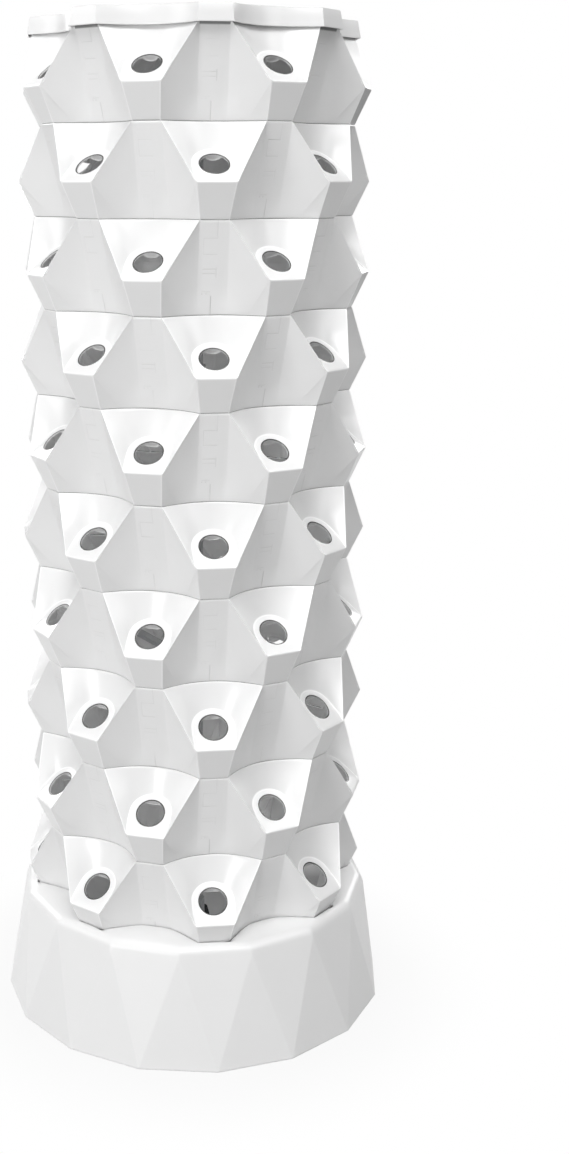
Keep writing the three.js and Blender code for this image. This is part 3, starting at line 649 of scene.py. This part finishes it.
panel = bakedWith(panelSkin(), thicken)
shadeSoft(panel, panelSharpAngle)
for level in range(layer["count"]):
    lift = Matrix.Translation((0, 0, base + level * pitch))
    stagger = 0 if level % 2 == 0 else -bayAngle / 2
    for quarter in range(layer["panels"]):
        spin = stagger + bayAngle / 2 + quarter * turn / layer["panels"]
        mesh = panel.copy()
        if level == layer["count"] - 1:
            shadeUnderCover(mesh)
        mesh.transform(lift @ Matrix.Rotation(spin, 4, "Z"))
        newPiece(f"pocketPanel_{level + 1:02d}_{quarter + 1}", mesh,
                 f"layer_{level + 1:02d}_panel_{quarter + 1}")
bpy.data.meshes.remove(panel)
print("stage: pocket panels made")


# Water tank

tank = {
    "footRadius": 0.335, "footRound": 0.002,
    "rimRadius": 0.306, "rimHeight": 0.184, "rimRound": 0.016,
    "sides": 16, "wall": 0.004, "mouth": 0.200,
    "seatSide": 0.0015, "seatWall": 0.0035, "seatRound": 0.0009,
    "facetBlend": 0.0003, "cornerBlend": radians(0.5),  # how softly facets and the rim's sides meet
    "firstRow": 0.004,  # lowest row of the facets
    "sharpAngle": 32,
}
rimHeight, rimRadius, rimRound = valuesOf(tank, "rimHeight rimRadius rimRound")
sideAngle = turn / tank["sides"]
deck = rimHeight + rimRound
footReach = tank["footRadius"] * cos(sideAngle / 2)
wallLean = atan2(footReach - rimRadius, rimHeight)
facetTop = rimHeight + rimRound * sin(wallLean)


def polygonRadius(radius, azimuth, grow=0.0):
    # radius of the rim's polygon with soft corners, which are half a side away from azimuth 0
    local = np.abs((azimuth / sideAngle) % 1 - 0.5) * sideAngle
    local = np.hypot(local, tank["cornerBlend"])
    return (radius * cos(sideAngle / 2) + grow) / np.cos(sideAngle / 2 - local)


def facetRadius(height, azimuth, inset=0.0):
    # triangular facets: those on the foot's sides and those under the rim's sides, blended where they meet
    rim = rimRadius - rimRound * (1 - cos(wallLean))
    share = height / facetTop
    onFoot = (azimuth / sideAngle) % 1 - 0.5
    onRim = (azimuth / sideAngle + 0.5) % 1 - 0.5
    low = (mix(footReach, rim, share) - inset) / np.cos(onFoot * sideAngle)
    high = (mix(tank["footRadius"], rim * cos(sideAngle / 2), share) - inset) / np.cos(onRim * sideAngle)
    blend = tank["facetBlend"]
    pick = np.clip(0.5 + 0.5 * (high - low) / blend, 0, 1)
    return mix(high, low, pick) - blend * pick * (1 - pick)


def layerRadius(height, azimuth):
    # radius of a layer's outer outline, at a height under its lip
    local = offPocket(azimuth)
    share = height / pitch
    across = np.linspace(0, ridgeAt(share)[1], 80)
    reach = valleySkin(share, across)
    angle = bayAngle / 2 - np.arctan2(across, reach)
    valley = np.interp(local, angle[::-1], np.hypot(across, reach)[::-1])
    front = mix(edgeReach, lipReach, height / lipHeight)
    half = mix(edgeHalf, lipHalf, height / lipHeight)
    return np.where(local < atan2(half, front), front / np.cos(local), valley)


def facetAzimuths(share):
    # columns that follow the facets' edges: going up, those under the rim's sides open out from the
    # foot's corners, and those on the foot's sides close in
    t = spaced(14, [0.012, 0.04])[:-1]
    spread = min(max(share, 0), 1) * sideAngle / 2
    side = np.concatenate([mix(-spread, spread, t), mix(spread, sideAngle - spread, t)])
    return np.concatenate([side + i * sideAngle for i in range(tank["sides"])])


def seatAzimuths():
    # as many columns, with more near the corners of the layer's front, from the middle of a side onwards
    breaks = [0, cornerAngle, sideAngle / 2, sideAngle]
    parts = [spaced(n, [0.04, 0.12])[:-1] * (b - a) + a for n, a, b in zip((6, 8, 12), breaks, breaks[1:])]
    half = np.concatenate(parts + [[sideAngle]])
    bay = np.concatenate([half[:-1], 2 * sideAngle - half[:0:-1]])
    around = np.concatenate([bay + i * bayAngle for i in range(layer["pockets"])])
    start = len(half) // 2
    return np.concatenate([around[-start:] - turn, around[:-start]])


def tankMesh():
    wall, edge, drop, side, under, mouth = valuesOf(
        tank, "wall seatRound footRound seatSide seatWall mouth")
    centre = rimRadius - rimRound
    seatFloor = base - layer["gap"]
    seatUnder = seatFloor - under
    foot, rim, seat = facetAzimuths(0), facetAzimuths(1), seatAzimuths()
    rings = []

    def ring(radius, height, azimuth):
        rings.append(place(radius, 0.0, height, azimuth))

    def facetRing(height, inset=0.0):
        azimuth = facetAzimuths(height / facetTop)
        ring(facetRadius(height, azimuth, inset), height, azimuth)

    def seatRing(height, grow):
        ring(layerRadius(max(height - base, 0), seat) + grow, height, seat)

    # underside, rounded foot, facets and rounded rim
    for share in (0, 0.3, 0.7, 0.97):
        ring(facetRadius(0, foot) * share, 0, foot)
    for angle in np.radians([5, 30, 60, 85]):
        ring(facetRadius(0, foot) - drop * (1 - sin(angle)), drop * (1 - cos(angle)), foot)
    for height in np.linspace(tank["firstRow"], rimHeight, 16):
        facetRing(height)
    for angle in np.linspace(wallLean, pi / 2, 9):
        ring(polygonRadius(centre + rimRound * cos(angle), rim), rimHeight + rimRound * sin(angle), rim)
    # deck, then down into the seat of the lowest layer
    deckHeight = deck - base
    for share in (0.2, 0.5, 0.8):
        across = mix(rim, seat, share)
        edgeHere = layerRadius(deckHeight, across) + side + 2 * edge
        ring(mix(polygonRadius(centre, across), edgeHere, share), deck, across)
    deckEdge = layerRadius(deckHeight, seat) + side
    for angle in np.radians([0, 30, 60, 90]):
        ring(deckEdge + edge * (1 - sin(angle)), deck - edge * (1 - cos(angle)), seat)
    for height in np.linspace(deck - 2 * edge, seatFloor, 6):
        seatRing(height, side)
    ring(mix(layerRadius(0, seat), mouth, 0.5), seatFloor, seat)
    ring(mouth, seatFloor, seat)
    ring(mouth, seatUnder, seat)
    # back up under the deck, then down the inside to the floor
    seatRing(seatUnder, side + under)
    seatRing(deck - wall, side + under)
    for angle in np.linspace(pi / 2, wallLean, 5):
        ring(polygonRadius(centre, rim, (rimRound - wall) * cos(angle)),
             rimHeight + (rimRound - wall) * sin(angle), rim)
    for height in np.linspace(rimHeight, wall, 8):
        facetRing(height, wall)
    ring(mouth, wall, foot)
    ring(0, wall, foot)
    return solidFrom("waterTankSkin", [np.stack(rings)], ["tankPlastic", "insidePlastic"])


def onTankWall(fitting):
    # a frame on the tank's wall, at a fitting's place, whose Z points out of the facet
    height, azimuth = fitting["height"], fitting["azimuth"]
    spot = place(mix(footReach, rimRadius, height / rimHeight), 0.0, height, azimuth)
    tilt = Matrix.Rotation(pi / 2 - wallLean, 4, "X")
    return Matrix.Translation(spot) @ Matrix.Rotation(azimuth, 4, "Z") @ tilt


def turned(profile, columns=64):
    # a closed profile of [radius, height] pairs, turned about Z
    profile = np.array(profile + profile[:1], dtype=float)
    angle = np.linspace(0, turn, columns, endpoint=False)[None, :]
    radius, height = profile[:, :1], profile[:, 1:] + 0 * angle
    return np.stack([radius * np.cos(angle), radius * np.sin(angle), height], axis=-1)


def moved(grid, matrix):
    matrix = np.array(matrix)
    return grid @ matrix[:3, :3].T + matrix[:3, 3]


grommet = {
    "height": 0.150, "azimuth": pi - sideAngle / 2,
    "radius": 0.009, "bore": 0.004, "flange": 0.004, "lip": 0.0025, "round": 0.0006,
    "domed": 0.7,  # height of the flange's outer edge as a share of the lip
}
plug = {
    "height": 0.038, "azimuth": pi + sideAngle / 2,
    "radius": 0.014, "flange": 0.006, "cap": 0.005, "depth": 0.010, "round": 0.0012,
    "grip": 0.007, "gripWidth": 0.005, "gripCorner": 0.0018, "gripRound": 0.0014,
}
fitGap = 0.0003
boreReach = 0.009  # how far the cutters reach out of and into the tank's wall
roundColumns = 48


def boreThrough(piece):
    for name, fitting in (("cordHole", grommet), ("drainHole", plug)):
        radius = fitting["radius"] + fitGap
        corners = [[0, -boreReach], [radius, -boreReach], [radius, boreReach], [0, boreReach]]
        rod = turned(corners, roundColumns)
        cut = piece.modifiers.new(name, "BOOLEAN")
        cut.operation = "DIFFERENCE"
        cut.solver = "EXACT"
        cut.object = addObject(name, solidFrom(name, [moved(rod, onTankWall(fitting))], []))


def markHollow(mesh):
    # the faces round the tank's hollow take the second material
    x, y, height = numbersOf(mesh.polygons, "center", 3)
    shell = facetRadius(height, np.arctan2(x, -y), tank["wall"] / 2)
    belowSeat = height < base - tank["seatWall"] / 2
    hollow = (height > tank["wall"] / 2) & belowSeat & (np.hypot(x, y) < shell)
    mesh.polygons.foreach_set("material_index", hollow.astype(np.int32))


def grommetMesh():
    bore, radius, lip, bulge = valuesOf(grommet, "bore radius lip round")
    wide = radius + grommet["flange"]
    low = -tank["wall"] - fitGap - lip
    ring = turned([
        [bore, low + bulge], [bore + bulge, low], [wide - bulge, low], [wide, low + bulge],
        [wide, low + lip - bulge], [wide - bulge, low + lip], [radius, low + lip], [radius, fitGap],
        [wide - bulge, fitGap], [wide, fitGap + bulge], [wide - bulge, fitGap + grommet["domed"] * lip],
        [radius, fitGap + lip], [bore + 2 * bulge, fitGap + lip], [bore, fitGap + lip - 2 * bulge],
    ], roundColumns)
    return solidFrom("cordGrommet", [moved(ring, onTankWall(grommet))], ["greyRubber"])


def gripBar(low, high):
    # a bar across the plug: rings of a rounded rectangle that draw in over its rounded top
    corner, ease = valuesOf(plug, "gripCorner gripRound")
    angle = (np.arange(32) + 0.5) * turn / 32
    bend = np.radians([0, 30, 60, 90])
    inset = np.concatenate([[0, 0], ease * (1 - np.cos(bend)), [0]])[:, None]
    height = np.concatenate([[low, low], high - ease * (1 - np.sin(bend)), [high]])[:, None]
    scale = np.array([0] + [1] * (len(inset) - 2) + [0])[:, None]
    across = np.sign(np.cos(angle)) * (plug["radius"] - corner) + (corner - inset) * np.cos(angle)
    along = np.sign(np.sin(angle)) * (plug["gripWidth"] / 2 - corner) + (corner - inset) * np.sin(angle)
    return np.stack([across * scale, along * scale, height + 0 * across], axis=-1)


def plugMesh():
    radius, depth, bulge = valuesOf(plug, "radius depth round")
    wide, cap = radius + plug["flange"], fitGap + plug["cap"]
    stem = turned([
        [0, -depth], [radius - bulge, -depth], [radius, bulge - depth], [radius, fitGap],
        [wide - 0.4 * bulge, fitGap], [wide, fitGap + 0.4 * bulge], [wide, cap - bulge],
        [wide - 0.3 * bulge, cap - 0.3 * bulge], [wide - bulge, cap], [radius + bulge, cap],
        [radius, cap - 0.5 * bulge], [0, cap - 0.5 * bulge],
    ])
    grids = [moved(grid, onTankWall(plug)) for grid in (stem, gripBar(cap - bulge, cap + plug["grip"]))]
    return solidFrom("drainPlug", grids, ["greyRubber"])


tankBody = bakedWith(tankMesh(), boreThrough)
markHollow(tankBody)
shadeSoft(tankBody, tank["sharpAngle"])
for name in ("cordHole", "drainHole"):
    bpy.data.objects.remove(bpy.data.objects[name])
newPiece("waterTank", tankBody, "water_tank")
newPiece("cordGrommet", grommetMesh(), "cord_grommet")
newPiece("drainPlug", plugMesh(), "drain_plug", body="plug")
print("stage: water tank made")


# Cover

cover = {
    "top": 1.700,
    "step": 0.0025,  # low octagonal step on the plate
    "stepInset": 0.004,  # how far it stands back from the middles of the bowed walls
    "stepFoot": 0.0004,  # small bend where the step meets the plate
    "rise": 0.0248,  # from the top of the stack to the rim
    "rimRound": 0.0016,
    "rimLead": 0.001,  # the last row under the rim's rounding
    "skirtDrop": 0.0045, "skirtFlare": 0.0086, "topFlare": 0.0036,
    "wall": 0.003, "innerBevel": 0.002, "edge": 0.0007, "sharpAngle": 32,
}


def coverOutline():
    # the layer's top edge: a bowed arc over each pocket and a short straight edge between two pockets
    arc = archHalfSpan * (spaced(18, [0.008, 0.03]) * 2 - 1)
    line = edgeHalf * (spaced(4, [0.03, 0.1])[1:-1] * 2 - 1)
    stagger = -bayAngle / 2 if layer["count"] % 2 == 0 else 0
    points, azimuths = [], []
    for bay in range(layer["pockets"]):
        middle = bay * bayAngle
        corner = middle + bayAngle / 2
        points += [place(topArch(arc), arc, 0.0, stagger + middle),
                   place(edgeReach, line, 0.0, stagger + corner)]
        azimuths += [middle + np.arctan2(arc, topArch(arc)), corner + np.arctan2(line, edgeReach)]
    return np.concatenate(points)[:, :2], np.concatenate(azimuths)


def outward(points):
    # mitred step that moves a closed outline out by one unit
    before = points - np.roll(points, 1, axis=0)
    after = np.roll(points, -1, axis=0) - points
    before /= np.linalg.norm(before, axis=1)[:, None]
    after /= np.linalg.norm(after, axis=1)[:, None]
    total = np.stack([before[:, 1] + after[:, 1], -before[:, 0] - after[:, 0]], axis=-1)
    return total / (1 + (before * after).sum(axis=1))[:, None]


def coverMesh():
    outline, azimuths = coverOutline()
    sideways = outward(outline)
    top, edge, wall, bend, bevel = valuesOf(cover, "top edge wall rimRound innerBevel")
    rim = top - cover["step"]
    skirt = rim - cover["rise"] - cover["skirtDrop"]
    stepReach = archReach - layer["archBow"] - cover["stepInset"]
    # the octagon's radius in the direction of every point of the outline, as a share of the outline's
    octagon = stepReach / np.cos(offPocket(azimuths)) / np.linalg.norm(outline, axis=1)
    rings = []

    def ring(flat, height):
        rings.append(np.concatenate([flat, np.full((len(flat), 1), height)], axis=1))

    def wallRing(distance, height, shrink=1.0):
        ring((outline + sideways * distance) * shrink, height)

    def stepRing(inset, height):
        ring(outline * octagon[:, None] * (1 - inset / stepReach), height)

    def flare(height):
        return mix(cover["skirtFlare"], cover["topFlare"], (height - skirt) / (rim - skirt))

    # the hollow from its middle to the skirt, then up the outside
    wallRing(0, rim - wall, shrink=0.0)
    wallRing(0, rim - wall, shrink=0.5)
    wallRing(flare(rim) - wall - bevel, rim - wall)
    wallRing(flare(rim) - wall, rim - wall - bevel)
    for inset, lift in ((wall, edge), (wall - edge, 0), (edge, 0), (0.3 * edge, 0.3 * edge)):
        wallRing(flare(skirt) - inset, skirt + lift)
    for height in (skirt + edge, skirt + 3 * edge, mix(skirt, rim, 0.5), rim - bend - cover["rimLead"]):
        wallRing(flare(height), height)
    for angle in np.linspace(0, pi / 2, 6):
        wallRing(flare(rim) - bend * (1 - cos(angle)), rim - bend * (1 - sin(angle)))
    # the plate, then up the step's rounded edge
    for inset, height in ((-cover["stepFoot"], rim), (0, rim + cover["stepFoot"]), (0, top - edge),
                          (0.3 * edge, top - 0.3 * edge), (edge, top), (0.5 * stepReach, top),
                          (stepReach, top)):
        stepRing(inset, height)
    return solidFrom("topCover", [np.stack(rings)], ["coverPlastic"], cover["sharpAngle"])


newPiece("topCover", coverMesh(), "top_cover", body="cover")
print("stage: cover made")


# Riser pipe, couplings, spray head and dish

riser = {
    "radius": 0.016, "wall": 0.0025, "chamfer": 0.0005,
    "bottom": 0.1163, "joints": (0.64165, 1.09015), "top": 1.5947,
    "couplingHalf": 0.030, "couplingWall": 0.003,
    "bead": 0.0007,  # raised band at both ends of a coupling
    "beadHeight": 0.006,
}
spray = {
    "height": 0.034, "wall": 0.003, "round": 0.003,
    "nozzles": 4, "nozzleRadius": 0.004, "nozzleBore": 0.002, "nozzleLength": 0.016,
    "collar": 0.003, "collarShare": 1.25, "tipShare": 0.85,  # shares of the nozzle's radius
}
dish = {"radius": 0.092, "rise": 0.016, "wall": 0.0025, "hub": 0.016, "curve": 1.25, "edge": 0.0007}
fitBore = riser["radius"] + fitGap


def tube(low, high):
    # a pipe whose ends have a small chamfer outside and inside
    outer, wall, c = valuesOf(riser, "radius wall chamfer")
    inner = outer - wall
    return turned([
        [inner + c, low], [outer - c, low], [outer, low + c], [outer, high - c],
        [outer - c, high], [inner + c, high], [inner, high - c], [inner, low + c],
    ])


def coupling(middle):
    outer, bead, c = fitBore + riser["couplingWall"], riser["bead"], riser["chamfer"]
    half, neck = riser["couplingHalf"], riser["couplingHalf"] - riser["beadHeight"]
    rims = [[fitBore, -half], [outer + bead - c, -half], [outer + bead, c - half], [outer + bead, -neck],
            [outer, bead - neck]]
    return turned([[r, middle + h] for r, h in rims] + [[r, middle - h] for r, h in reversed(rims)])


def sprayGrids():
    low, top = riser["top"] - spray["height"] / 2, riser["top"] + spray["height"] / 2
    roof, outer, bend = top - spray["wall"], fitBore + spray["wall"], spray["round"]
    c = riser["chamfer"]
    crown = [[outer - bend * (1 - cos(a)), top - bend * (1 - sin(a))] for a in np.linspace(0, pi / 2, 6)]
    cup = [[0, roof], [fitBore, roof], [fitBore, low], [outer - c, low], [outer, low + c]]
    grids = [turned(cup + crown + [[0, top]])]
    # a nozzle is a tube with a collar at its root and a thinner tip
    root, end, collar = (fitBore + outer) / 2, outer + spray["nozzleLength"], outer + spray["collar"]
    radius, bore = spray["nozzleRadius"], spray["nozzleBore"]
    wide, thin = spray["collarShare"] * radius, spray["tipShare"] * radius
    profile = [[bore, root], [wide, root], [wide, collar - c], [wide - c, collar], [radius, collar],
               [thin, end - c], [thin - c, end], [bore + c, end], [bore, end - c]]
    for i in range(spray["nozzles"]):
        spin = (i + 0.5) * turn / spray["nozzles"]
        spot = Matrix.Translation((0, 0, (riser["top"] + roof) / 2)) @ Matrix.Rotation(spin, 4, "Z")
        grids.append(moved(turned(profile, 32), spot @ Matrix.Rotation(pi / 2, 4, "X")))
    return grids


def dishGrid():
    # a shallow bowl whose floor and underside rise outwards by the same power
    hub, edge, wall = fitBore + dish["wall"], dish["edge"], dish["wall"]
    top = riser["top"] - spray["height"] / 2 - fitGap
    low = top - dish["hub"]
    share = np.linspace(0, 1, 14)
    reach = mix(hub, dish["radius"] - edge, share)
    under = low + dish["rise"] * share ** dish["curve"]
    over = low + mix(2 * wall, dish["rise"] + wall, share ** dish["curve"])
    rim = [[dish["radius"], under[-1] + edge], [dish["radius"], over[-1] - edge]]
    lower = np.stack([reach, under], axis=-1).tolist()
    upper = np.stack([reach, over], axis=-1)[::-1].tolist()
    collar = [[hub, top - edge], [hub - edge, top], [fitBore, top]]
    return turned([[fitBore, low]] + lower + rim + upper + collar, 96)


halfGap = fitGap / 2  # each length of pipe is shorter by this much at a joint
pipeEnds = [riser["bottom"] - halfGap, *riser["joints"], riser["top"] + halfGap]
pipework = [(f"riserPipe_{part}", f"riser_pipe_{part}", [tube(low + halfGap, high - halfGap)])
            for part, low, high in zip(("lower", "middle", "upper"), pipeEnds, pipeEnds[1:])]
pipework += [(f"pipeCoupling_{part}", f"pipe_coupling_{part}", [coupling(middle)])
             for part, middle in zip(("lower", "upper"), riser["joints"])]
pipework += [("sprayHead", "spray_head", sprayGrids()), ("spreaderDish", "spreader_dish", [dishGrid()])]
for name, replaced, grids in pipework:
    newPiece(name, solidFrom(name, grids, ["pipePlastic"]), replaced)
print("stage: riser pipe and spray head made")


# Plain finishes of the pieces that keep their CAD shape

cadFinishes = {
    "pipePlastic": ("pipe_guide_1", "pipe_guide_2", "pipe_guide_3", "outlet_socket"),
    "pumpPlastic": ("pump_body", "pump_cover"),
    "pinSteel": ("pump_pin",),
    "impellerPlastic": ("pump_impeller",),
}
for finish, names in cadFinishes.items():
    for name in names:
        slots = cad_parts[name].data.materials
        slots.clear()
        slots.append(materials[finish])
print("stage: finishes set")


# Floor, lights and camera

stageLook = {
    "floorSize": 12.0, "floorColor": grey(0.45), "floorRoughness": 0.9, "floorShine": 0.1,
    "shadowShare": 0.1,  # how much of the lit floor the camera sees near the object; the rest is white
    "shadowNear": 0.30, "shadowFar": 0.55,
}
# azimuth from the front towards the right and elevation in degrees, then power in watts
lamps = {
    "keyLeft": (-25, 55, 183),
    "lowLeft": (-45, 8, 247),
    "sideLeft": (-90, 30, 117),
    "highFront": (0, 55, 232),
    "fillRight": (45, 30, 81),
    "highRight": (65, 55, 170),
    "backLeft": (-145, 20, 256),
    "backRight": (145, 20, 162),
    "backLow": (180, 12, 192),
}
rig = {"aim": (0, 0, 0.85), "distance": 8.0, "size": 3.2}
shot = {
    "width": 569, "height": 1154,
    "focal": 1534.007,  # pixels
    "middle": (193.971, 424.846),  # pixel that the lens points at
    "distance": 2.62991, "eye": 1.43286, "tilt": radians(-9.04105), "azimuth": radians(-6.81113),
    "sensor": 36, "farthest": 50,
}


def floorMaterial():
    # plain white for the camera, with a share of the lit floor near the object, so that its shadow stays
    material = bpy.data.materials.new("paleFloor")
    material.use_nodes = True
    tree = material.node_tree
    shader = tree.nodes["Principled BSDF"]
    feed(tree, shader, {"Base Color": stageLook["floorColor"], "Roughness": stageLook["floorRoughness"],
                        "Specular IOR Level": stageLook["floorShine"]})
    white = addNode(tree, "Emission", {})
    reach = addNode(tree, "VectorMath", {0: objectPlace(tree)}, operation="LENGTH").outputs["Value"]
    near, far, share = valuesOf(stageLook, "shadowNear shadowFar shadowShare")
    lit = smoothRamp(tree, reach, near, far, share, 0)
    seen = addNode(tree, "MixShader", {0: lit, 1: white.outputs[0], 2: shader.outputs[0]})
    path = addNode(tree, "LightPath", {}).outputs
    direct = addMath(tree, "MAXIMUM", path["Is Camera Ray"], path["Is Glossy Ray"])
    pick = addNode(tree, "MixShader", {0: direct, 1: shader.outputs[0], 2: seen.outputs[0]})
    feed(tree, tree.nodes["Material Output"], {"Surface": pick.outputs[0]})
    return material


def addFloor():
    half = stageLook["floorSize"] / 2
    mesh = bpy.data.meshes.new("floor")
    corners = [(-half, -half, 0), (half, -half, 0), (half, half, 0), (-half, half, 0)]
    mesh.from_pydata(corners, [], [(0, 1, 2, 3)])
    mesh.materials.append(floorMaterial())
    addObject("floor", mesh)


def addWorld():
    # white to the camera only, so that the lamps alone light the object
    world = bpy.data.worlds.new("studio")
    bpy.context.scene.world = world
    world.use_nodes = True
    tree = world.node_tree
    path = addNode(tree, "LightPath", {}).outputs
    feed(tree, tree.nodes["Background"], {"Color": grey(1), "Strength": path["Is Camera Ray"]})


def addLamps():
    aim = Vector(rig["aim"])
    for name, (azimuth, elevation, power) in lamps.items():
        light = bpy.data.lights.new(name, "AREA")
        light.size = rig["size"]
        light.energy = power
        level, height = cos(radians(elevation)), sin(radians(elevation))
        away = Vector(place(level, 0, height, radians(azimuth)))
        holder = addObject(name, light)
        holder.location = aim + away * rig["distance"]
        holder.rotation_euler = (-away).to_track_quat("-Z", "Y").to_euler()


def addCamera():
    data = bpy.data.cameras.new("camera")
    data.sensor_width = shot["sensor"]
    data.lens = shot["focal"] * shot["sensor"] / shot["height"]
    data.shift_x = (shot["width"] / 2 - shot["middle"][0]) / shot["height"]
    data.shift_y = (shot["middle"][1] - shot["height"] / 2) / shot["height"]
    data.clip_end = shot["farthest"]
    camera = addObject("camera", data)
    away = shot["azimuth"]
    camera.location = place(shot["distance"], 0, shot["eye"], away)
    camera.rotation_euler = (pi / 2 + shot["tilt"], 0, away)
    bpy.context.scene.camera = camera


addFloor()
addWorld()
addLamps()
addCamera()
bpy.context.scene.view_settings.view_transform = "Standard"
print("stage: floor, lights and camera set")
